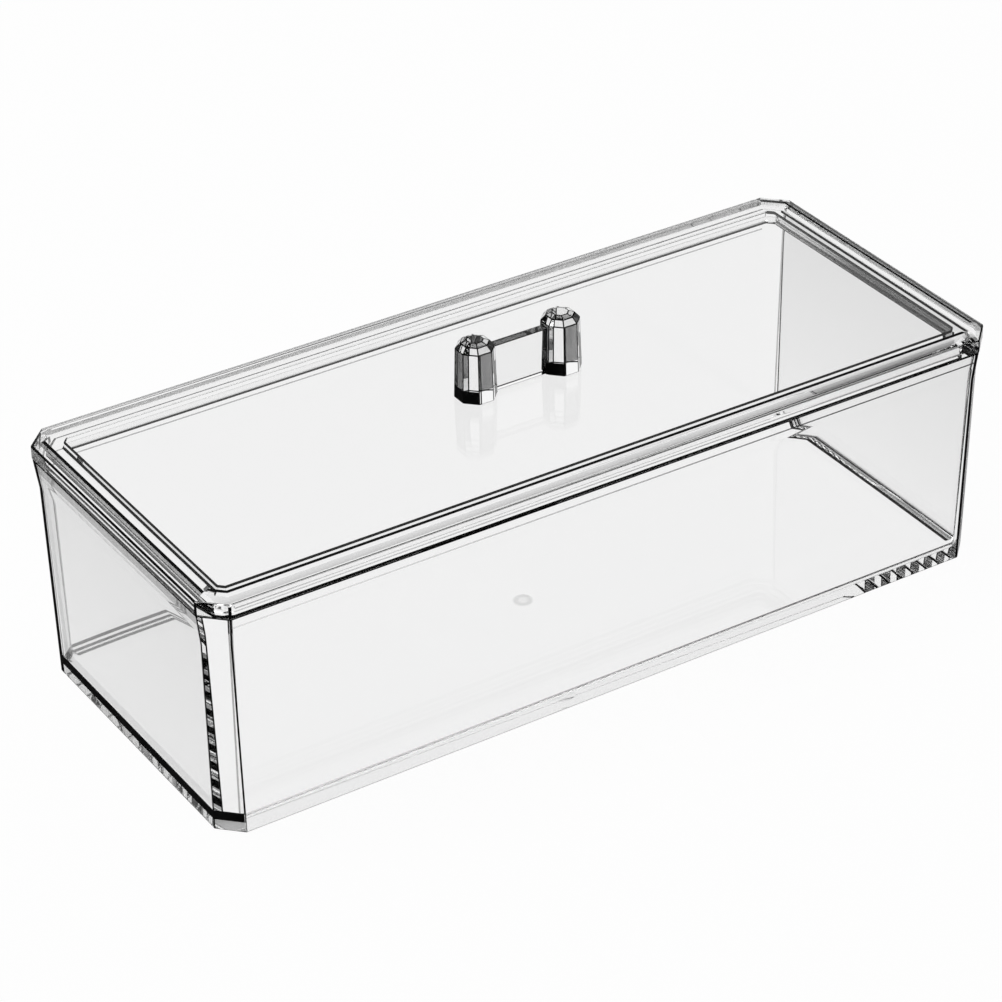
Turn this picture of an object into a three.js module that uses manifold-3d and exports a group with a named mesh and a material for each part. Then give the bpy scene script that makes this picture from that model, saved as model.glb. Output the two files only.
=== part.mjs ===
// Clear storage box: a drafted tray with cut corners, a lift-off lid, and a two-post handle bonded on the lid.
import * as THREE from "three";
import { mergeVertices } from "three/addons/utils/BufferGeometryUtils.js";
import Module from "manifold-3d";

// Driving dimensions in millimetres. +Z is up, +X runs along the box, the origin is under the tray's middle.
// Insets are measured in from the lid's outline, the widest outline of the box.
const boxLength = 230;
const boxWidth = 95;
const cornerCut = 5.9; // leg of the 45 degree cut across each upright corner of the lid
const baseCornerCut = 5.6; // the same leg at the foot of the tray

// Tray
const trayHeight = 62.4;
const rimSetback = 0.15; // the rim stands this far inside the lid's outline
const flareHeight = 8.2; // the top of the outer wall leans out over this height
const flareReach = 1; // how far the rim stands out past the foot of the flare
const wallDraft = 0.75; // how far the outer wall leans in from the foot of the flare to the base
const rimThickness = 2.05;
const innerFlareHeight = 6; // the flare on the inside of the wall
const innerFlareReach = 0.8;
const innerDraft = 1.9; // how far the inner wall leans in below its flare, so that the wall thickens downwards
const floorThickness = 2.1;
const floorFillet = 2.3; // inside radius where the wall turns into the floor
const gateDiameter = 6; // moulding gate scar under the floor
const gateDepth = 0.4;

// Lid
const seatGap = 0.1; // between the rim and the border that rests on it
const lidFace = 3.9; // height of the upright outer face
const bevelWidth = 3;
const bevelRise = 0.85;
const borderWidth = 7.45; // the thick border, from the outline to the pocket under the plate
const plateThickness = 1.7;
const registerFit = 1.8; // between the inside of the rim and the step that drops into it
const registerDepth = 1.1; // how far that step reaches below the border's seat

// Handle
const bondGap = 0.1; // bond line between the handle and the lid
const postSpacing = 25.2; // between the centre lines of the two posts
const postAcross = 10.2; // across the flats at the foot
const postDraft = 0.4; // how far each flat leans in from the foot to the shoulder
const shoulderHeight = 13.75; // foot to shoulder
const lowerCrownInset = 1.25; // first ring of facets on the post's head
const lowerCrownRise = 1.45;
const upperCrownInset = 1.45; // second ring of facets, up to the small flat top
const upperCrownRise = 0.55;
const webThickness = 2.5;
const webHeight = 12.85;

const filletSteps = 5; // facets round the floor's quarter turn
const gateSides = 24;

const wasm = await Module();
wasm.setup();

// A level eight-sided ring: a rectangle with its corners cut at 45 degrees, running anticlockwise.
function cutRing(halfX, halfY, cut, z) {
  return [
    new THREE.Vector3(halfX, -halfY + cut, z),
    new THREE.Vector3(halfX, halfY - cut, z),
    new THREE.Vector3(halfX - cut, halfY, z),
    new THREE.Vector3(-halfX + cut, halfY, z),
    new THREE.Vector3(-halfX, halfY - cut, z),
    new THREE.Vector3(-halfX, -halfY + cut, z),
    new THREE.Vector3(-halfX + cut, -halfY, z),
    new THREE.Vector3(halfX - cut, -halfY, z),
  ];
}

// Moving all sides of a cut ring in by 1 shortens the leg of its cut by this much.
const cutShrink = 2 - Math.SQRT2;

// The lid's outline moved in by a distance, at a height.
function boxRing(inset, z, cut = cornerCut - inset * cutShrink) {
  return cutRing(boxLength / 2 - inset, boxWidth / 2 - inset, cut, z);
}

// A regular eight-sided ring with its flats square to the box.
function postRing(across, z) {
  const cut = (across / 2) * (1 - Math.tan(Math.PI / 8));
  return cutRing(across / 2, across / 2, cut, z);
}

// A closed skin over a stack of rings, with a flat cap on the first and the last.
function loft(rings) {
  const sides = rings[0].length;
  const positions = rings.flat().flatMap((point) => point.toArray());
  const index = [];
  for (let level = 1; level < rings.length; level++) {
    const high = level * sides;
    const low = high - sides;
    for (let side = 0; side < sides; side++) {
      const next = (side + 1) % sides;
      index.push(low + side, low + next, high + next);
      index.push(low + side, high + next, high + side);
    }
  }
  const last = (rings.length - 1) * sides;
  for (let side = 1; side + 1 < sides; side++) {
    index.push(0, side + 1, side);
    index.push(last, last + side, last + side + 1);
  }
  const geometry = new THREE.BufferGeometry();
  geometry.setAttribute("position", new THREE.Float32BufferAttribute(positions, 3));
  geometry.setIndex(index);
  return geometry;
}

function toSolid(geometry) {
  const bare = geometry.clone();
  bare.deleteAttribute("normal");
  bare.deleteAttribute("uv");
  const merged = mergeVertices(bare);
  const mesh = new wasm.Mesh({
    numProp: 3,
    vertProperties: merged.attributes.position.array,
    triVerts: new Uint32Array(merged.index.array),
  });
  return new wasm.Manifold(mesh);
}

function toGeometry(solid) {
  const mesh = solid.getMesh();
  const geometry = new THREE.BufferGeometry();
  geometry.setAttribute("position", new THREE.BufferAttribute(mesh.vertProperties, 3));
  geometry.setIndex(new THREE.BufferAttribute(mesh.triVerts, 1));
  geometry.computeVertexNormals();
  return geometry;
}

function clearPlastic(name, geometry, opacity) {
  const material = new THREE.MeshStandardMaterial({
    color: 0xf1f4f5,
    roughness: 0.04,
    metalness: 0,
    transparent: true,
    opacity,
  });
  const mesh = new THREE.Mesh(geometry, material);
  mesh.name = name;
  return mesh;
}

// Heights and insets that the tray and the lid share.
const rimInnerInset = rimSetback + rimThickness;
const innerFlareSlope = innerFlareReach / innerFlareHeight;
const seatHeight = trayHeight + seatGap;
const lidTop = seatHeight + lidFace + bevelRise;

function makeTray() {
  const flareFootInset = rimSetback + flareReach;
  const innerFlareInset = rimInnerInset + innerFlareReach;
  const floorInset = innerFlareInset + innerDraft;
  const rings = [
    boxRing(flareFootInset + wallDraft, 0, baseCornerCut),
    boxRing(flareFootInset, trayHeight - flareHeight),
    boxRing(rimSetback, trayHeight),
    boxRing(rimInnerInset, trayHeight),
    boxRing(innerFlareInset, trayHeight - innerFlareHeight),
  ];
  for (let step = 0; step <= filletSteps; step++) {
    const turn = (step / filletSteps) * (Math.PI / 2);
    const run = floorFillet * (1 - Math.cos(turn));
    const rise = floorFillet * (1 - Math.sin(turn));
    rings.push(boxRing(floorInset + run, floorThickness + rise));
  }
  const gateRadius = gateDiameter / 2;
  const gate = new THREE.CylinderGeometry(gateRadius, gateRadius, 2 * gateDepth, gateSides);
  gate.rotateX(Math.PI / 2);
  return toGeometry(toSolid(loft(rings)).subtract(toSolid(gate)));
}

function makeLid() {
  const plateBottom = lidTop - plateThickness;
  const registerBottom = seatHeight - registerDepth;
  const registerInset = rimInnerInset + registerFit;
  // the register's face leans with the inside of the rim, so that the fit is even all the way down
  const registerLean = registerDepth * innerFlareSlope;
  return loft([
    boxRing(borderWidth, plateBottom),
    boxRing(borderWidth, registerBottom),
    boxRing(registerInset + registerLean, registerBottom),
    boxRing(registerInset, seatHeight),
    boxRing(0, seatHeight),
    boxRing(0, seatHeight + lidFace),
    boxRing(bevelWidth, lidTop),
  ]);
}

function makeHandle() {
  const shoulderAcross = postAcross - 2 * postDraft;
  const crownAcross = shoulderAcross - 2 * lowerCrownInset;
  const topAcross = crownAcross - 2 * upperCrownInset;
  const crownHeight = shoulderHeight + lowerCrownRise;
  const post = loft([
    postRing(postAcross, 0),
    postRing(shoulderAcross, shoulderHeight),
    postRing(crownAcross, crownHeight),
    postRing(topAcross, crownHeight + upperCrownRise),
  ]);
  const web = new THREE.BoxGeometry(postSpacing, webThickness, webHeight);
  web.translate(0, 0, webHeight / 2);
  let solid = toSolid(web);
  for (const end of [-1, 1]) {
    const placedPost = post.clone().translate((end * postSpacing) / 2, 0, 0);
    solid = solid.add(toSolid(placedPost));
  }
  return toGeometry(solid);
}

const tray = clearPlastic("tray", makeTray(), 0.35);
const lid = clearPlastic("lid", makeLid(), 0.3);
const handle = clearPlastic("handle", makeHandle(), 0.45);
handle.position.z = lidTop + bondGap;

const box = new THREE.Group();
box.add(tray, lid, handle);

export default box;
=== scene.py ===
import math

import bmesh
import bpy
from mathutils import Euler, Matrix, Vector


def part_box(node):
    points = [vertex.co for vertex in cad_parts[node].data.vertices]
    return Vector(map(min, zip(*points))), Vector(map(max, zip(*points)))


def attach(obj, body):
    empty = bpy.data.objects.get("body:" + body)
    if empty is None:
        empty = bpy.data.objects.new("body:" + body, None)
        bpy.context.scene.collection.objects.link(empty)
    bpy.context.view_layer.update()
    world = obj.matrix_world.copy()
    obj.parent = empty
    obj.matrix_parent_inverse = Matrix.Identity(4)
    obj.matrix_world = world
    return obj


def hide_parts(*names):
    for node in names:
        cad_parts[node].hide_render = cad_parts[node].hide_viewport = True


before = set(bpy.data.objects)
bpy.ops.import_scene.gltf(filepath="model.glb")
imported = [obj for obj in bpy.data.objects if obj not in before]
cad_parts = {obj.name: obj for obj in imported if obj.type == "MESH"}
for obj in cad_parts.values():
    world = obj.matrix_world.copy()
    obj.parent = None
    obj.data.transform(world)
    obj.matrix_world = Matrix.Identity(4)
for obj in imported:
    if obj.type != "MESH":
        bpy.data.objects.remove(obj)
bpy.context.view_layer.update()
mm = 0.001
near = 0.01 * mm  # how close a vertex lies to the place it is picked by
facing = 0.9  # a face looks along a direction if this much of its normal does
upright = 0.2  # and it stands upright if less than this much of its normal points up or down
print("frame loaded:", sorted(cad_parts))

# the lid's outline is the widest one, and every inset below is measured in from it
lidLow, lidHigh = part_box("lid")
trayLow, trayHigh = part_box("tray")
handleLow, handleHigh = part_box("handle")
halfLength = lidHigh.x
halfWidth = lidHigh.y
cornerCut = 5.9 * mm  # leg of the cut across each upright corner
cutShrink = 2 - math.sqrt(2)  # how fast that leg shortens as an outline moves in
nearSides = ("left", "left front", "front")
farSides = ("right front", "right", "right back", "left back")

# places of the finishes in each piece's list of materials
clear = 0
# every finish from here on, all but the gate's clear middle, is painted shade: near-black or grey lines,
# bands, walls and flats
paintedShade = 1
paintedHalfShade = 2
trayGate = 3
trayEndShade = 4
trayFrontShadeLines = 5
trayBackShadeLines = 6
lidWallShade = 3
handleDarkShade = 2
handleGreyShade = 3

# how the edges and faces of every piece are rounded and shaded
moulding = {
    "roundedFrom": 14,  # edges that turn by more degrees than this are rounded
    "smoothUpTo": 40,  # faces that meet at fewer degrees than this shade as one
    "flatWeight": 90,  # how strongly large faces stay flat beside the rounds
    "edgeReach": 0.9 * mm,  # the faces of a round lie this close to their edge
}


def boxLoop(inset, height, cut=None):
    # an eight-sided outline: half length, half width, corner cut, height
    if cut is None:
        cut = cornerCut - inset * cutShrink
    return (halfLength - inset, halfWidth - inset, cut, height)


def selectOnly(piece):
    bpy.ops.object.select_all(action="DESELECT")
    bpy.context.view_layer.objects.active = piece
    piece.select_set(True)


def startPiece(name):
    # an empty mesh, left open in edit mode
    bpy.ops.object.select_all(action="DESELECT")
    bpy.ops.mesh.primitive_plane_add(size=1, location=(0, 0, 0))
    piece = bpy.context.object
    piece.name = name
    piece.data.name = name
    bpy.ops.object.mode_set(mode="EDIT")
    bpy.ops.mesh.select_all(action="SELECT")
    bpy.ops.mesh.delete(type="VERT")
    return piece


def pickPoints(piece, chosen):
    bpy.ops.mesh.select_all(action="DESELECT")
    mesh = bmesh.from_edit_mesh(piece.data)
    mesh.verts.ensure_lookup_table()
    for index in chosen:
        mesh.verts[index].select = True
    mesh.select_flush_mode()
    bmesh.update_edit_mesh(piece.data)


def pickLoop(piece, loop):
    halfX, halfY, _, height = loop
    mesh = bmesh.from_edit_mesh(piece.data)
    chosen = []
    for vert in mesh.verts:
        onEnd = abs(abs(vert.co.x) - halfX) < near
        onSide = abs(abs(vert.co.y) - halfY) < near
        if (onEnd or onSide) and abs(vert.co.z - height) < near:
            chosen.append(vert.index)
    pickPoints(piece, chosen)


def addLoop(loop):
    # a plane at its size, its corners cut, and only its edges kept
    halfX, halfY, cut, height = loop
    bpy.ops.mesh.select_all(action="DESELECT")
    bpy.ops.mesh.primitive_plane_add(size=2, location=(0, 0, height))
    bpy.ops.transform.resize(value=(halfX, halfY, 1), center_override=(0, 0, height))
    bpy.ops.mesh.bevel(affect="VERTICES", offset=cut, segments=1)
    bpy.ops.mesh.delete(type="ONLY_FACE")


def growLoop(piece, old, new):
    # the picked loop is extruded, then the points on its sides and on its ends are sized to the new outline
    oldX, oldY, oldCut, oldHeight = old
    newX, newY, newCut, newHeight = new
    bpy.ops.mesh.extrude_region_move(TRANSFORM_OT_translate={"value": (0, 0, newHeight - oldHeight)})
    mesh = bmesh.from_edit_mesh(piece.data)
    mesh.verts.index_update()
    picked = [vert for vert in mesh.verts if vert.select]
    sidePoints = [vert.index for vert in picked if abs(abs(vert.co.y) - oldY) < near]
    endPoints = [vert.index for vert in picked if abs(abs(vert.co.x) - oldX) < near]
    sideScale = ((newX - newCut) / (oldX - oldCut), newY / oldY, 1)
    endScale = (newX / oldX, (newY - newCut) / (oldY - oldCut), 1)
    for points, scale in ((sidePoints, sideScale), (endPoints, endScale)):
        pickPoints(piece, points)
        bpy.ops.transform.resize(value=scale, center_override=(0, 0, newHeight))
    pickPoints(piece, sidePoints + endPoints)


def skinLoops(piece, loops):
    # a wall from each loop to the next, and a flat face over the first and the last
    addLoop(loops[0])
    pickLoop(piece, loops[0])
    for old, new in zip(loops, loops[1:]):
        growLoop(piece, old, new)
    for loop in (loops[0], loops[-1]):
        pickLoop(piece, loop)
        bpy.ops.mesh.edge_face_add()
    bpy.ops.mesh.select_all(action="SELECT")
    bpy.ops.mesh.normals_make_consistent(inside=False)


def roundLoop(piece, loop, radius, steps):
    pickLoop(piece, loop)
    bpy.ops.mesh.bevel(affect="EDGES", offset=radius, segments=steps)


def applyBoolean(piece, other, operation):
    selectOnly(piece)
    cut = piece.modifiers.new("shape", "BOOLEAN")
    cut.operation = operation
    cut.solver = "EXACT"
    cut.object = other
    bpy.ops.object.modifier_apply(modifier=cut.name)
    bpy.data.objects.remove(other)


def roundEdges(piece, width, steps):
    # moulded edges are never dead sharp: a small round on each, which starts out painted near black as shade
    selectOnly(piece)
    soft = piece.modifiers.new("moulded edges", "BEVEL")
    soft.width = width
    soft.segments = steps
    soft.limit_method = "ANGLE"
    soft.angle_limit = math.radians(moulding["roundedFrom"])
    soft.material = paintedShade
    bpy.ops.object.modifier_apply(modifier=soft.name)


def smoothFaces(piece):
    # rounds shade smoothly and flat faces stay flat
    selectOnly(piece)
    bpy.ops.object.shade_smooth_by_angle(angle=math.radians(moulding["smoothUpTo"]))
    level = piece.modifiers.new("flat faces", "WEIGHTED_NORMAL")
    level.mode = "FACE_AREA"
    level.weight = moulding["flatWeight"]
    level.keep_sharp = True
    bpy.ops.object.modifier_apply(modifier=level.name)


def sideOf(place):
    # the side of the box that a point is nearest to, and how far it lies in from the lid's outline there
    toEnd = halfLength - abs(place.x)
    toSide = halfWidth - abs(place.y)
    toCut = (toEnd + toSide - cornerCut) / math.sqrt(2)
    inset = min(toEnd, toSide, toCut)
    end = "left" if place.x < 0 else "right"
    side = "front" if place.y < 0 else "back"
    if inset == toCut:
        return end + " " + side, inset
    return (side if inset == toSide else end), inset


def finishEdges(piece, loops, innerFrom, innerFinish):
    # each loop of edges is painted near black as shade on some sides, painted grey as shade on others and
    # polished clear on the rest
    # upright edges are painted near black as shade, but those further in than innerFrom take innerFinish
    for face in piece.data.polygons:
        if face.material_index != paintedShade:
            continue
        side, inset = sideOf(face.center)
        offsets = [math.hypot(halfWidth - loop[1] - inset, loop[3] - face.center.z) for loop, _, _ in loops]
        least = min(offsets)
        _, darkShadeSides, greyShadeSides = loops[offsets.index(least)]
        if least < moulding["edgeReach"]:
            if side not in darkShadeSides:
                face.material_index = paintedHalfShade if side in greyShadeSides else clear
        elif inset > innerFrom:
            face.material_index = innerFinish


def finishBand(piece, insets, heights, sides, finish):
    # the clear faces between two insets and two heights, on some sides
    for face in piece.data.polygons:
        side, inset = sideOf(face.center)
        if face.material_index == clear and side in sides and insets[0] <= inset <= insets[1]:
            if heights[0] <= face.center.z <= heights[1]:
                face.material_index = finish


# Tray: a deep drafted shell whose top leans out, with a rounded inside floor and a gate scar under it
traySizes = {
    "rimSetback": 0.15 * mm,
    "flareHeight": 8.2 * mm,
    "flareReach": 1.0 * mm,
    "wallDraft": 0.75 * mm,
    "baseCornerCut": 5.6 * mm,
    "footLine": (3.0 * mm, 5.7 * mm),  # heights above the base of the near-black line of painted shade along the left end
    "rimThickness": 2.05 * mm,
    "innerFlareHeight": 6.0 * mm,
    "innerFlareReach": 0.8 * mm,
    "innerDraft": 1.9 * mm,
    "shadedRim": 2.9 * mm,  # the top of the left end's wall is painted grey as shade over this height
    "rimLine": 0.45 * mm,  # the lowest part of that height is a fine near-black line of painted shade along the front
    "darkShadeBefore": -108 * mm,  # the inside upright edges before this are painted near black as shade
    "clearAfter": Vector((105 * mm, 43 * mm)),  # and those past this are clear
    "backLineDrop": 4.9 * mm,  # a faint grey line of painted shade along the inside of the back wall, this far below the rim
    "backLineHeight": 0.35 * mm,
    "floorThickness": 2.1 * mm,
    "floorFillet": 2.3 * mm,
    "filletSteps": 8,
    "rightFacets": (6, 7),  # facets of the floor's fillet painted near black as shade, counted down from the wall
    "rightHalfFacets": (4,),
    "frontFacets": (0, 1, 3),  # and those painted near black as shade at one end of the box
    "backFacets": (0, 1, 6, 7),
    "gateRadius": 3.0 * mm,
    "gateDepth": 0.2 * mm,
    "gateSegments": 64,
    "gateRings": 128,
    "edgeRound": 0.25 * mm,
    "edgeSteps": 3,
}

# near-black lines of painted shade beside two upright outer edges: the way the wall faces, the way along it
# to the edge, how far out the corner lies that way, and the line's width
cornerLines = (
    (Vector((-1, 0, 0)), Vector((0, 1, 0)), halfWidth, 1.9 * mm),
    (Vector((0, -1, 0)), Vector((1, 0, 0)), halfLength, 0.8 * mm),
)


def splitWall(tray, outward, along, reach, width):
    # an outer wall is split beside its upright edge, following the edge's lean
    s = traySizes
    rise = trayHigh.z - s["flareHeight"] - trayLow.z
    foot = s["rimSetback"] + s["flareReach"]
    top = reach - foot - (cornerCut - foot * cutShrink)
    low = reach - foot - s["wallDraft"] - s["baseCornerCut"]
    start = along * (low - width) + Vector((0, 0, trayLow.z))
    aim = (along * rise + Vector((0, 0, low - top))).normalized()
    bpy.ops.mesh.select_all(action="DESELECT")
    mesh = bmesh.from_edit_mesh(tray.data)
    mesh.normal_update()
    for face in mesh.faces:
        if face.normal.dot(outward) > facing and face.calc_center_median().dot(outward) > 0:
            face.select = True
    bmesh.update_edit_mesh(tray.data)
    bpy.ops.mesh.bisect(plane_co=start, plane_no=aim, threshold=near)


def finishUprights(tray):
    # the inside upright edges at the left are painted near black as shade, as are the two corner lines
    # the upright edges where the back wall meets the right back corner are polished clear
    s = traySizes
    for face in tray.data.polygons:
        onUpright = face.material_index > clear and abs(face.normal.z) < upright
        if face.material_index == paintedHalfShade and face.center.x < s["darkShadeBefore"]:
            face.material_index = paintedShade
        if onUpright and face.center.x > s["clearAfter"].x and face.center.y > s["clearAfter"].y:
            face.material_index = clear
        for outward, along, reach, _ in cornerLines:
            onWall = face.normal.dot(outward) > facing and face.center.dot(outward) > 0
            if onWall and face.center.dot(along) > reach / 2:
                face.material_index = paintedShade


def finishFillet(tray, facets, side, finish):
    # some facets of the fillet round the floor, on one side of the box
    s = traySizes
    floor = trayLow.z + s["floorThickness"]
    inside = s["rimSetback"] + s["rimThickness"] + s["innerFlareReach"]
    for facet in facets:
        turns = [(facet + step) / s["filletSteps"] * math.pi / 2 for step in (0, 1)]
        high, low = [floor + s["floorFillet"] * (1 - math.sin(turn)) for turn in turns]
        finishBand(tray, (inside, halfWidth), (low, high), (side,), finish)


def makeTray():
    s = traySizes
    rim = trayHigh.z
    base = trayLow.z
    flareFoot = s["rimSetback"] + s["flareReach"]
    baseInset = flareFoot + s["wallDraft"]
    rimInner = s["rimSetback"] + s["rimThickness"]
    innerFoot = rimInner + s["innerFlareReach"]
    innerBottom = innerFoot + s["innerDraft"]
    outerSlope = s["flareReach"] / s["flareHeight"]
    innerSlope = s["innerFlareReach"] / s["innerFlareHeight"]
    lineTop = s["shadedRim"] - s["rimLine"]
    backLineTop = s["backLineDrop"]
    backLineFoot = s["backLineDrop"] + s["backLineHeight"]
    baseEdge = boxLoop(baseInset, base, s["baseCornerCut"])
    flareEdge = boxLoop(flareFoot, rim - s["flareHeight"])
    rimEdge = boxLoop(rimInner, rim)
    floorEdge = boxLoop(innerBottom, base + s["floorThickness"])
    footLoops = []
    for height in s["footLine"]:
        share = height / (flareEdge[3] - base)
        footLoops.append(tuple(low + (high - low) * share for low, high in zip(baseEdge, flareEdge)))
    tray = startPiece("tray_shell")
    skinLoops(tray, [
        baseEdge,
        *footLoops,
        flareEdge,
        boxLoop(s["rimSetback"] + s["shadedRim"] * outerSlope, rim - s["shadedRim"]),
        boxLoop(s["rimSetback"] + lineTop * outerSlope, rim - lineTop),
        boxLoop(s["rimSetback"], rim),
        rimEdge,
        boxLoop(rimInner + backLineTop * innerSlope, rim - backLineTop),
        boxLoop(rimInner + backLineFoot * innerSlope, rim - backLineFoot),
        boxLoop(innerFoot, rim - s["innerFlareHeight"]),
        floorEdge,
    ])
    roundLoop(tray, floorEdge, s["floorFillet"], s["filletSteps"])
    for outward, along, reach, width in cornerLines:
        splitWall(tray, outward, along, reach, width)
    bpy.ops.object.mode_set(mode="OBJECT")
    addFinishes(tray, "tray")
    roundEdges(tray, s["edgeRound"], s["edgeSteps"])
    allSides = nearSides + farSides + ("back",)
    finishEdges(tray, [(baseEdge, allSides, ()), (rimEdge, (), ())], baseInset + near, paintedHalfShade)
    finishUprights(tray)
    # painted shade: near-black and grey lines and bands on the walls and the floor's fillet, and greyer end
    # walls
    lineLow, lineHigh = s["footLine"]
    finishBand(tray, (0, innerFoot), (base + lineLow, base + lineHigh), ("left", "left front"), paintedShade)
    finishBand(tray, (0, baseInset), (base, rim - near), ("right front",), paintedHalfShade)
    finishBand(tray, (0, baseInset), (base, rim - s["shadedRim"]), ("left", "right"), trayEndShade)
    finishBand(tray, (0, flareFoot), (rim - s["shadedRim"], rim - near), ("left",), paintedHalfShade)
    finishBand(tray, (0, rimInner), (rim - near, rim + near), ("back", "right"), paintedHalfShade)
    finishBand(tray, (rimInner, innerFoot), (rim - backLineFoot, rim - backLineTop), ("back",), paintedHalfShade)
    finishBand(tray, (0, flareFoot), (rim - s["shadedRim"], rim - lineTop), ("front",), trayFrontShadeLines)
    finishFillet(tray, s["rightFacets"], "right", paintedShade)
    finishFillet(tray, s["rightHalfFacets"], "right", paintedHalfShade)
    finishFillet(tray, s["frontFacets"], "front", trayFrontShadeLines)
    finishFillet(tray, s["backFacets"], "back", trayBackShadeLines)
    # the gate scar is a shallow round dimple in the underside, cut by the top of a ball
    ballRadius = (s["gateRadius"] ** 2 + s["gateDepth"] ** 2) / (2 * s["gateDepth"])
    bpy.ops.object.select_all(action="DESELECT")
    bpy.ops.mesh.primitive_uv_sphere_add(
        segments=s["gateSegments"],
        ring_count=s["gateRings"],
        radius=ballRadius,
        location=(0, 0, base + s["gateDepth"] - ballRadius),
    )
    gate = bpy.context.object
    applyBoolean(tray, gate, "DIFFERENCE")
    for face in tray.data.polygons:
        onDimple = base + near < face.center.z < base + 2 * s["gateDepth"]
        if onDimple and face.center.xy.length < s["gateRadius"]:
            face.material_index = trayGate
    return tray


# Lid: a thick border with a shallow bevelled top edge, a thin plate, and a step that drops inside the rim
lidSizes = {
    "seatGap": 0.1 * mm,
    "faceHeight": 3.9 * mm,
    "bevelWidth": 3.0 * mm,
    "borderWidth": 7.45 * mm,
    "plateThickness": 1.7 * mm,
    "registerFit": 1.8 * mm,
    "rootBand": 1.05 * mm,  # strip of near-black painted shade down the pocket's wall from the plate
    "stepBand": 0.8 * mm,  # the same up from the register, at the back
    "shadedFrom": 1.7 * mm,  # the bevel is painted grey as shade further in than this on the box's ends
    "shadeLine": (3.8 * mm, 4.85 * mm),  # insets of the fine near-black line of painted shade along the front of the top
    "edgeRound": 0.42 * mm,
    "edgeSteps": 4,
}


def makeLid():
    s = lidSizes
    t = traySizes
    seat = trayHigh.z + s["seatGap"]
    top = lidHigh.z
    bottom = lidLow.z
    register = t["rimSetback"] + t["rimThickness"] + s["registerFit"]
    lean = (seat - bottom) * t["innerFlareReach"] / t["innerFlareHeight"]
    shoulder = seat + s["faceHeight"]
    plateBottom = top - s["plateThickness"]
    border = s["borderWidth"]
    shadedHeight = shoulder + (top - shoulder) * s["shadedFrom"] / s["bevelWidth"]
    lineOuter, lineInner = s["shadeLine"]
    plateRoot = boxLoop(border, plateBottom)
    stepInner = boxLoop(border, bottom)
    stepOuter = boxLoop(register + lean, bottom)
    stepRoot = boxLoop(register, seat)
    lowEdge = boxLoop(0, seat)
    highEdge = boxLoop(0, shoulder)
    topEdge = boxLoop(s["bevelWidth"], top)
    lid = startPiece("lid_plate")
    skinLoops(lid, [
        plateRoot,
        boxLoop(border, plateBottom - s["rootBand"]),
        boxLoop(border, bottom + s["stepBand"]),
        stepInner,
        stepOuter,
        stepRoot,
        lowEdge,
        highEdge,
        boxLoop(s["shadedFrom"], shadedHeight),
        topEdge,
        boxLoop(lineOuter, top),
        boxLoop(lineInner, top),
    ])
    bpy.ops.object.mode_set(mode="OBJECT")
    addFinishes(lid, "lid")
    roundEdges(lid, s["edgeRound"], s["edgeSteps"])
    mostSides = nearSides + farSides
    finishEdges(lid, [
        (plateRoot, mostSides, ()),
        (stepInner, farSides + ("left", "back"), ()),
        (stepOuter, ("left", "right"), ()),
        (stepRoot, (), ()),
        (lowEdge, mostSides, ()),
        (highEdge, farSides + ("left",), ("back",)),
        (topEdge, ("left", "right"), ()),
    ], s["bevelWidth"], clear)
    pocketWall = (border - near, border + near)
    # painted shade: near-black strips on the pocket's wall, its right wall darkened toward the front, a grey
    # bevel at the ends and a near-black line on the top
    finishBand(lid, pocketWall, (plateBottom - s["rootBand"], plateBottom), mostSides, paintedShade)
    finishBand(lid, pocketWall, (bottom, bottom + s["stepBand"]), ("back",), paintedShade)
    finishBand(lid, pocketWall, (bottom, plateBottom), ("right",), lidWallShade)
    finishBand(lid, (s["shadedFrom"], s["bevelWidth"]), (shadedHeight, top - near), ("left", "right"), paintedHalfShade)
    finishBand(lid, s["shadeLine"], (top - near, top + near), ("front", "left front"), paintedShade)
    return lid


# Handle: two eight-sided posts with faceted heads, joined by an upright web
handleSizes = {
    "postAcross": 10.2 * mm,
    "shoulderAcross": 9.4 * mm,
    "shoulderHeight": 13.75 * mm,
    "crownAcross": 6.9 * mm,
    "crownRise": 1.45 * mm,
    "topAcross": 4.0 * mm,
    "webThickness": 2.5 * mm,
    "webHeight": 12.85 * mm,
    "footBand": 3.6 * mm,  # the posts' flats are painted near black as shade or left clear below this height, and painted dark or grey as shade above it
    "leftTurn": 0.6,  # flats that face left by more than this are painted near black as shade at the foot
    "backTurn": 0.3,  # unless they face back by more than this
    "edgeRound": 0.18 * mm,
    "edgeSteps": 2,
}


def postLoop(across, height):
    half = across / 2
    return (half, half, half * (1 - math.tan(math.pi / 8)), height)


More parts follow.
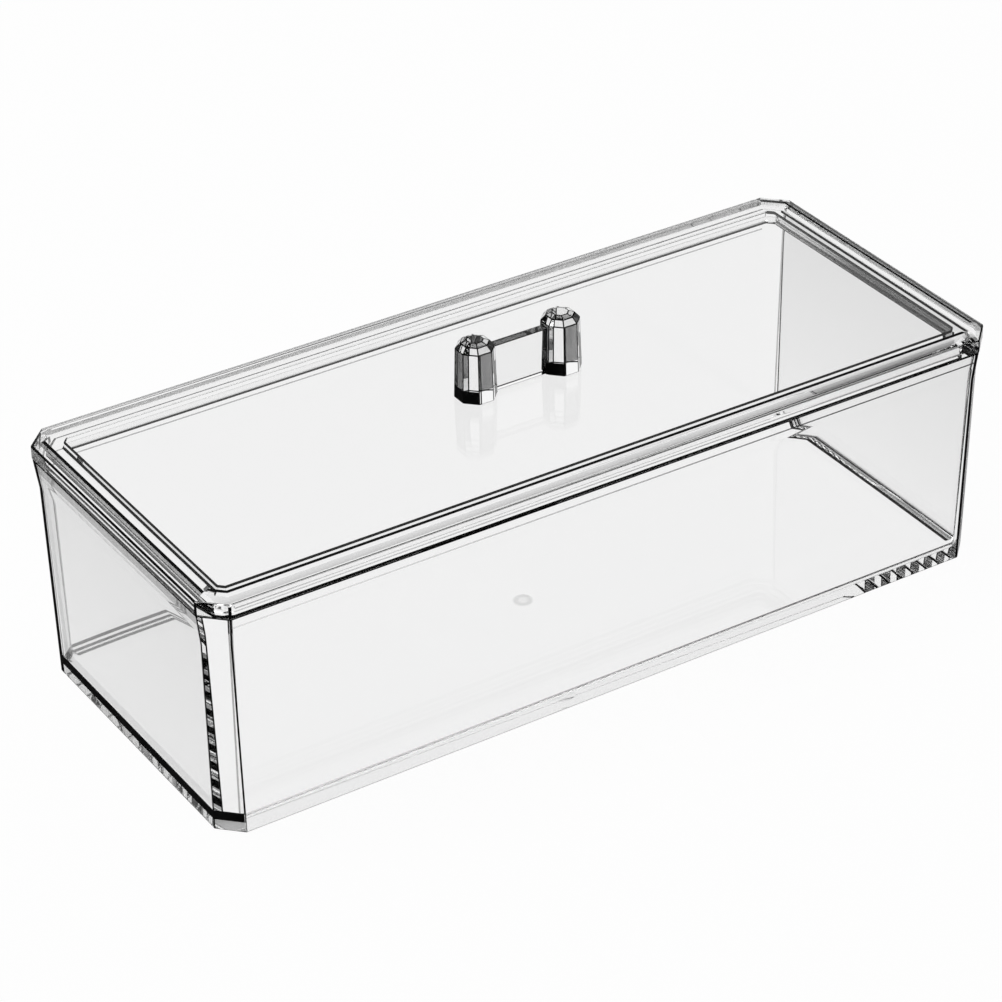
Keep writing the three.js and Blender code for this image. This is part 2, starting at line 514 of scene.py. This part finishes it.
def makeHandle():
    s = handleSizes
    foot = handleLow.z
    shoulder = foot + s["shoulderHeight"]
    spacing = (handleHigh.x - handleLow.x) - s["postAcross"]
    lean = (s["postAcross"] - s["shoulderAcross"]) / s["shoulderHeight"]
    leftPost = startPiece("post")
    skinLoops(leftPost, [
        postLoop(s["postAcross"], foot),
        postLoop(s["postAcross"] - lean * s["footBand"], foot + s["footBand"]),
        postLoop(s["shoulderAcross"], shoulder),
        postLoop(s["crownAcross"], shoulder + s["crownRise"]),
        postLoop(s["topAcross"], handleHigh.z),
    ])
    bpy.ops.transform.translate(value=(-spacing / 2, 0, 0))
    bpy.ops.object.mode_set(mode="OBJECT")
    # the other post is a copy with its own mesh
    bpy.ops.object.duplicate(linked=False)
    rightPost = bpy.context.object
    bpy.ops.object.mode_set(mode="EDIT")
    bpy.ops.mesh.select_all(action="SELECT")
    bpy.ops.transform.translate(value=(spacing, 0, 0))
    bpy.ops.object.mode_set(mode="OBJECT")
    bpy.ops.object.select_all(action="DESELECT")
    bpy.ops.mesh.primitive_cube_add(size=1, location=(0, 0, 0))
    handle = bpy.context.object
    handle.name = "handle_grip"
    handle.data.name = "handle_grip"
    bpy.ops.object.mode_set(mode="EDIT")
    bpy.ops.transform.resize(value=(spacing, s["webThickness"], s["webHeight"]))
    bpy.ops.transform.translate(value=(0, 0, foot + s["webHeight"] / 2))
    bpy.ops.object.mode_set(mode="OBJECT")
    for post in (leftPost, rightPost):
        applyBoolean(handle, post, "UNION")
    # the slivers that the joins leave are merged away
    bpy.ops.object.mode_set(mode="EDIT")
    bpy.ops.mesh.select_all(action="SELECT")
    bpy.ops.mesh.remove_doubles(threshold=near)
    bpy.ops.object.mode_set(mode="OBJECT")
    addFinishes(handle, "handle")
    roundEdges(handle, s["edgeRound"], s["edgeSteps"])
    # the upright flats and the web's top are painted dark or grey as shade, and two flats are painted near
    # black as shade at the foot
    webEnd = spacing / 2 - s["postAcross"] / 2
    for face in handle.data.polygons:
        if face.material_index == paintedShade:
            continue
        onFoot = face.center.z < foot + s["footBand"]
        onWeb = abs(face.center.y) < s["webThickness"] and abs(face.center.x) < webEnd
        if face.normal.z > facing and onWeb:
            face.material_index = handleDarkShade
        elif abs(face.normal.z) < upright and not onWeb:
            if onFoot:
                onLeft = face.normal.x < -s["leftTurn"] and face.normal.y < s["backTurn"]
                face.material_index = paintedShade if onLeft else clear
            elif abs(face.normal.x) > facing:
                face.material_index = handleDarkShade
            elif abs(face.normal.y) > facing:
                face.material_index = handleGreyShade
    return handle


def grey(level):
    return (level, level, level, 1)


def newMaterial(name):
    material = bpy.data.materials.new(name)
    material.use_nodes = True
    return material, material.node_tree.nodes, material.node_tree.links


def noiseNode(nodes, links, place, scale, detail):
    noise = nodes.new("ShaderNodeTexNoise")
    noise.inputs["Scale"].default_value = scale
    noise.inputs["Detail"].default_value = detail
    links.new(place, noise.inputs["Vector"])
    return noise.outputs["Fac"]


def rampNode(nodes, links, value, dark, bright):
    # 0 below dark, 1 above bright, and smooth between
    ramp = nodes.new("ShaderNodeMapRange")
    ramp.interpolation_type = "SMOOTHSTEP"
    ramp.inputs["From Min"].default_value = dark
    ramp.inputs["From Max"].default_value = bright
    links.new(value, ramp.inputs["Value"])
    return ramp.outputs["Result"]


def mixNode(nodes, links, share, first, second):
    # from the first colour to the second
    mix = nodes.new("ShaderNodeMix")
    mix.data_type = "RGBA"
    mix.inputs["A"].default_value = first
    mix.inputs["B"].default_value = second
    links.new(share, mix.inputs["Factor"])
    return mix


def combineNode(nodes, links, operation, first, second):
    # the first is a socket, and the second is another one or a plain number
    combine = nodes.new("ShaderNodeMath")
    combine.operation = operation
    links.new(first, combine.inputs[0])
    if isinstance(second, float):
        combine.inputs[1].default_value = second
    else:
        links.new(second, combine.inputs[1])
    return combine.outputs[0]


# Clear moulded plastic: polished, with a faint flow in its surface and the odd rubbed patch
plasticLooks = {
    "ior": 1.45,
    "tint": grey(0.95),
    "endShadeTint": grey(0.875),  # the tray's two end walls are a little greyer, as painted shade
    "mirrorTint": grey(0.0),  # holds back what the flat faces mirror
    "smokeColour": grey(0.5),  # what long paths inside the plastic lose
    "smokeDensity": 2.5,
    "flowScale": 22.0,  # soft waves left by the mould, about 45 mm apart
    "flowDetail": 1.0,
    "flowDepth": 0.02 * mm,
    "flowStrength": 0.05,
    "patchScale": 60.0,
    "patchDetail": 6.0,
    "rubRange": (0.45, 0.75),  # the noise that stands for clear, and for fully rubbed
    "clearRoughness": 0.0,
    "rubbedRoughness": 0.012,
}


def clearPlastic(name, tint, looks):
    material, nodes, links = newMaterial(name)
    shader = nodes["Principled BSDF"]
    shader.inputs["Base Color"].default_value = tint
    shader.inputs["Transmission Weight"].default_value = 1.0
    shader.inputs["Specular Tint"].default_value = looks["mirrorTint"]
    shader.inputs["IOR"].default_value = looks["ior"]
    place = nodes.new("ShaderNodeTexCoord").outputs["Object"]
    flow = noiseNode(nodes, links, place, looks["flowScale"], looks["flowDetail"])
    bump = nodes.new("ShaderNodeBump")
    bump.inputs["Strength"].default_value = looks["flowStrength"]
    bump.inputs["Distance"].default_value = looks["flowDepth"]
    links.new(flow, bump.inputs["Height"])
    links.new(bump.outputs["Normal"], shader.inputs["Normal"])
    patchNoise = noiseNode(nodes, links, place, looks["patchScale"], looks["patchDetail"])
    spread = nodes.new("ShaderNodeMapRange")
    spread.inputs["From Min"].default_value = looks["rubRange"][0]
    spread.inputs["From Max"].default_value = looks["rubRange"][1]
    spread.inputs["To Min"].default_value = looks["clearRoughness"]
    spread.inputs["To Max"].default_value = looks["rubbedRoughness"]
    links.new(patchNoise, spread.inputs["Value"])
    links.new(spread.outputs["Result"], shader.inputs["Roughness"])
    smoke = nodes.new("ShaderNodeVolumeAbsorption")
    smoke.inputs["Color"].default_value = looks["smokeColour"]
    smoke.inputs["Density"].default_value = looks["smokeDensity"]
    links.new(smoke.outputs["Volume"], nodes["Material Output"].inputs["Volume"])
    return material


# Rounded edges of clear plastic throw the light aside, so they show as dark lines,
# which are painted here as near-black shade with a little random variation
edgeLooks = {
    "darkestShade": grey(0.001),
    "palestShade": grey(0.02),
    "patchScale": 140.0,
    "patchDetail": 3.0,
    "roughness": 0.45,
    "gloss": 0.0,
}


def paintedEdgeShade(name, looks):
    material, nodes, links = newMaterial(name)
    shader = nodes["Principled BSDF"]
    shader.inputs["Roughness"].default_value = looks["roughness"]
    shader.inputs["Specular IOR Level"].default_value = looks["gloss"]
    place = nodes.new("ShaderNodeTexCoord").outputs["Object"]
    patchNoise = noiseNode(nodes, links, place, looks["patchScale"], looks["patchDetail"])
    shade = mixNode(nodes, links, patchNoise, looks["darkestShade"], looks["palestShade"])
    links.new(shade.outputs["Result"], shader.inputs["Base Color"])
    return material


# Shaded plastic: the same, but what passes through is darkened as painted shade, in soft upright streaks
shadedLooks = {
    "ior": 1.45,
    "mirrorTint": grey(0.0),
    "clearShare": 0.7,
    "gloss": 0.0,
    "streakScale": (900.0, 900.0, 120.0),
    "streakDetail": 2.0,
    "roughness": 0.05,
}

# the darkest and the palest streak of each finish of painted shade
shadeTints = {
    "trayEdges": (0.25, 0.5),
    "lidEdges": (0.06, 0.4),
    "darkLines": (0.0, 0.06),
    "handleDarkShade": (0.01, 0.09),
    "handleGreyShade": (0.07, 0.22),
}

# where the painted shade starts to thin out, and where it ends: the axis, the shaded place and the clear
# place
fades = {
    "lidWall": ("Y", 0.0, 45 * mm),
    "frontLines": ("X", 75 * mm, -110 * mm),
    "backLines": ("X", -60 * mm, -20 * mm),
}


def shadedPlastic(name, tints, looks, fade=None):
    material, nodes, links = newMaterial(name)
    shader = nodes["Principled BSDF"]
    shader.inputs["Transmission Weight"].default_value = looks["clearShare"]
    shader.inputs["Specular IOR Level"].default_value = looks["gloss"]
    shader.inputs["Specular Tint"].default_value = looks["mirrorTint"]
    shader.inputs["IOR"].default_value = looks["ior"]
    shader.inputs["Roughness"].default_value = looks["roughness"]
    place = nodes.new("ShaderNodeTexCoord").outputs["Object"]
    stretch = nodes.new("ShaderNodeMapping")
    stretch.inputs["Scale"].default_value = looks["streakScale"]
    links.new(place, stretch.inputs["Vector"])
    # the stretched place already holds the scale
    streak = noiseNode(nodes, links, stretch.outputs["Vector"], 1.0, looks["streakDetail"])
    darkest, palest = [grey(tint) for tint in tints]
    shade = mixNode(nodes, links, streak, darkest, palest)
    if fade is None:
        links.new(shade.outputs["Result"], shader.inputs["Base Color"])
        return material
    # the painted shade thins out along the box
    axis, shadedPlace, clearPlace = fade
    split = nodes.new("ShaderNodeSeparateXYZ")
    links.new(place, split.inputs["Vector"])
    thinned = rampNode(nodes, links, split.outputs[axis], shadedPlace, clearPlace)
    faded = mixNode(nodes, links, thinned, darkest, plasticLooks["tint"])
    links.new(shade.outputs["Result"], faded.inputs["A"])
    links.new(faded.outputs["Result"], shader.inputs["Base Color"])
    return material


# Gate scar: clear, with a soft grey ring of painted shade round its middle
gateLooks = {
    "ringShade": grey(0.6),
    "innerRamp": (0.6 * mm, 1.9 * mm),
    "outerRamp": (3.0 * mm, 2.0 * mm),
    "middleShare": 0.45,  # how much of the ring's grey the middle has
}


def gateScar(name, looks):
    material = clearPlastic(name, plasticLooks["tint"], plasticLooks)
    nodes = material.node_tree.nodes
    links = material.node_tree.links
    place = nodes.new("ShaderNodeTexCoord").outputs["Object"]
    # only the distance along the floor counts, so the height is taken out
    level = nodes.new("ShaderNodeVectorMath")
    level.operation = "MULTIPLY"
    level.inputs[1].default_value = (1, 1, 0)
    links.new(place, level.inputs[0])
    away = nodes.new("ShaderNodeVectorMath")
    away.operation = "LENGTH"
    links.new(level.outputs["Vector"], away.inputs[0])
    inner = rampNode(nodes, links, away.outputs["Value"], *looks["innerRamp"])
    inner.node.inputs["To Min"].default_value = looks["middleShare"]
    outer = rampNode(nodes, links, away.outputs["Value"], *looks["outerRamp"])
    ring = combineNode(nodes, links, "MULTIPLY", inner, outer)
    shade = mixNode(nodes, links, ring, plasticLooks["tint"], looks["ringShade"])
    links.new(shade.outputs["Result"], nodes["Principled BSDF"].inputs["Base Color"])
    return material


def addFinishes(piece, node):
    # in the order of the places given at the top
    finishes = [
        clearPlastic(node + " plastic", plasticLooks["tint"], plasticLooks),
        paintedEdgeShade(node + " edges", edgeLooks),
    ]
    tints = shadeTints
    if node == "tray":
        finishes += [
            shadedPlastic("tray half shaded edges", tints["trayEdges"], shadedLooks),
            gateScar("tray gate", gateLooks),
            clearPlastic("tray end shade", plasticLooks["endShadeTint"], plasticLooks),
            shadedPlastic("tray front shade lines", tints["darkLines"], shadedLooks, fades["frontLines"]),
            shadedPlastic("tray back shade lines", tints["darkLines"], shadedLooks, fades["backLines"]),
        ]
    if node == "lid":
        finishes += [
            shadedPlastic("lid half shaded edges", tints["lidEdges"], shadedLooks),
            shadedPlastic("lid wall shade", tints["darkLines"], shadedLooks, fades["lidWall"]),
        ]
    if node == "handle":
        finishes += [
            shadedPlastic("handle dark shade flats", tints["handleDarkShade"], shadedLooks),
            shadedPlastic("handle grey shade flats", tints["handleGreyShade"], shadedLooks),
        ]
    for material in finishes:
        piece.data.materials.append(material)


def finishPiece(piece, body, node):
    smoothFaces(piece)
    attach(piece, body)
    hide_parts(node)
    print(piece.name, "has", len(piece.data.polygons), "faces")


finishPiece(makeTray(), "tray", "tray")
finishPiece(makeLid(), "lid", "lid")
finishPiece(makeHandle(), "lid", "handle")


# Studio: a pale floor, a white surround and a soft lamp
studio = {
    "floorSize": 6.0,
    "floorDrop": 0.05 * mm,
    "floorColour": grey(0.9),
    "floorRoughness": 0.9,
    "floorGlow": 0.97,  # share of the floor that is white whatever falls on it
    "floorMirrored": 0.15,  # how much of that white shows in reflections
    "backdropTurn": 28.0,  # degrees from straight back to the middle of the white backdrop
    "backdropRamp": (0.52, 0.70),
    "overheadRamp": (0.72, 0.90),
    "sweepRamp": (0.16, 0.08),  # the floor's white runs up a little all round
    "roomLevel": 0.04,
    "whiteLevel": 1.0,
    "whiteMirrored": 0.65,  # how much of the surround shows in plain reflections
    "keySize": 1.2,
    "keyPlace": (-0.6, 0.5, 1.5),
    "keyPower": 12.0,
}


def makeFloor():
    bpy.ops.object.select_all(action="DESELECT")
    bpy.ops.mesh.primitive_plane_add(size=studio["floorSize"], location=(0, 0, -studio["floorDrop"]))
    floor = bpy.context.object
    floor.name = "floor"
    material, nodes, links = newMaterial("pale floor")
    paint = nodes["Principled BSDF"]
    paint.inputs["Base Color"].default_value = studio["floorColour"]
    paint.inputs["Roughness"].default_value = studio["floorRoughness"]
    glow = nodes.new("ShaderNodeEmission")
    glow.inputs["Strength"].default_value = studio["whiteLevel"]
    # white where the camera sees it, plainly or through the plastic, and dimmer in reflections
    path = nodes.new("ShaderNodeLightPath").outputs
    direct = combineNode(nodes, links, "MAXIMUM", path["Is Camera Ray"], path["Is Transmission Ray"])
    reflected = combineNode(nodes, links, "MULTIPLY", path["Is Glossy Ray"], studio["floorMirrored"])
    seen = combineNode(nodes, links, "MAXIMUM", direct, reflected)
    share = combineNode(nodes, links, "MULTIPLY", seen, studio["floorGlow"])
    mix = nodes.new("ShaderNodeMixShader")
    links.new(share, mix.inputs["Fac"])
    links.new(paint.outputs["BSDF"], mix.inputs[1])
    links.new(glow.outputs["Emission"], mix.inputs[2])
    links.new(mix.outputs["Shader"], nodes["Material Output"].inputs["Surface"])
    floor.data.materials.append(material)


def makeWorld():
    # a white backdrop behind, a wide soft light above, and a dim room at the sides and in front
    world = bpy.data.worlds.new("studio")
    bpy.context.scene.world = world
    world.use_nodes = True
    nodes = world.node_tree.nodes
    links = world.node_tree.links
    place = nodes.new("ShaderNodeTexCoord").outputs["Generated"]
    turn = math.radians(studio["backdropTurn"])
    lobes = []
    for aim, ramp in (
        ((math.sin(turn), math.cos(turn), 0), studio["backdropRamp"]),
        ((0, 0, 1), studio["overheadRamp"]),
    ):
        toward = nodes.new("ShaderNodeVectorMath")
        toward.operation = "DOT_PRODUCT"
        toward.inputs[1].default_value = aim
        links.new(place, toward.inputs[0])
        lobes.append(rampNode(nodes, links, toward.outputs["Value"], *ramp))
    split = nodes.new("ShaderNodeSeparateXYZ")
    links.new(place, split.inputs["Vector"])
    sweep = rampNode(nodes, links, split.outputs["Z"], *studio["sweepRamp"])
    lit = combineNode(nodes, links, "MAXIMUM", lobes[0], lobes[1])
    whole = combineNode(nodes, links, "MAXIMUM", lit, sweep)
    level = nodes.new("ShaderNodeMapRange")
    level.inputs["To Min"].default_value = studio["roomLevel"]
    level.inputs["To Max"].default_value = studio["whiteLevel"]
    links.new(whole, level.inputs["Value"])
    # the camera itself sees plain white
    path = nodes.new("ShaderNodeLightPath").outputs
    mirrored = nodes.new("ShaderNodeMapRange")
    mirrored.inputs["To Min"].default_value = 1.0
    mirrored.inputs["To Max"].default_value = studio["whiteMirrored"]
    links.new(path["Is Reflection Ray"], mirrored.inputs["Value"])
    dimmed = combineNode(nodes, links, "MULTIPLY", level.outputs["Result"], mirrored.outputs["Result"])
    seen = combineNode(nodes, links, "MAXIMUM", dimmed, path["Is Camera Ray"])
    links.new(seen, nodes["Background"].inputs["Strength"])
    nodes["Background"].inputs["Color"].default_value = grey(1.0)


def makeLamp():
    lamp = bpy.data.lights.new("key", "AREA")
    lamp.size = studio["keySize"]
    lamp.energy = studio["keyPower"]
    key = bpy.data.objects.new("key", lamp)
    key.location = studio["keyPlace"]
    key.rotation_euler = (-key.location).to_track_quat("-Z", "Y").to_euler()
    bpy.context.scene.collection.objects.link(key)


# Camera, at the photograph's angle
viewpoint = {
    "azimuth": 32.52,  # degrees round to the left end
    "elevation": 32.14,
    "roll": -0.82,
    "distance": 0.9487,  # from the aim point
    "aimHeight": 0.030,
    "focalPixels": 3716,
    "imageSide": 1002,
    "sensor": 36.0,
    "centreRight": 19.2,  # how far the optical axis lies right of the picture's middle, in pixels
    "centreDown": 5.6,
    "clipStart": 0.01,
    "clipEnd": 100,
}


def makeCamera():
    v = viewpoint
    lens = bpy.data.cameras.new("camera")
    camera = bpy.data.objects.new("camera", lens)
    bpy.context.scene.collection.objects.link(camera)
    bpy.context.scene.camera = camera
    azimuth = math.radians(v["azimuth"])
    elevation = math.radians(v["elevation"])
    level = math.cos(elevation)
    back = Vector((-math.sin(azimuth) * level, -math.cos(azimuth) * level, math.sin(elevation)))
    turn = Euler((math.pi / 2 - elevation, 0, -azimuth)).to_matrix()
    roll = Matrix.Rotation(math.radians(v["roll"]), 3, "Z")
    camera.location = Vector((0, 0, v["aimHeight"])) + back * v["distance"]
    camera.rotation_euler = (turn @ roll).to_euler()
    lens.sensor_width = v["sensor"]
    lens.lens = v["focalPixels"] / v["imageSide"] * v["sensor"]
    lens.shift_x = -v["centreRight"] / v["imageSide"]
    lens.shift_y = v["centreDown"] / v["imageSide"]
    lens.clip_start = v["clipStart"]
    lens.clip_end = v["clipEnd"]


makeFloor()
makeWorld()
makeLamp()
makeCamera()

# light turns many times inside clear walls before it leaves them
lightTurns = {
    "all": 160,
    "transmission": 64,
    "glossy": 128,
}
scene = bpy.context.scene
scene.view_settings.view_transform = "Standard"
scene.cycles.max_bounces = lightTurns["all"]
scene.cycles.transmission_bounces = lightTurns["transmission"]
scene.cycles.glossy_bounces = lightTurns["glossy"]
print("studio and camera made")
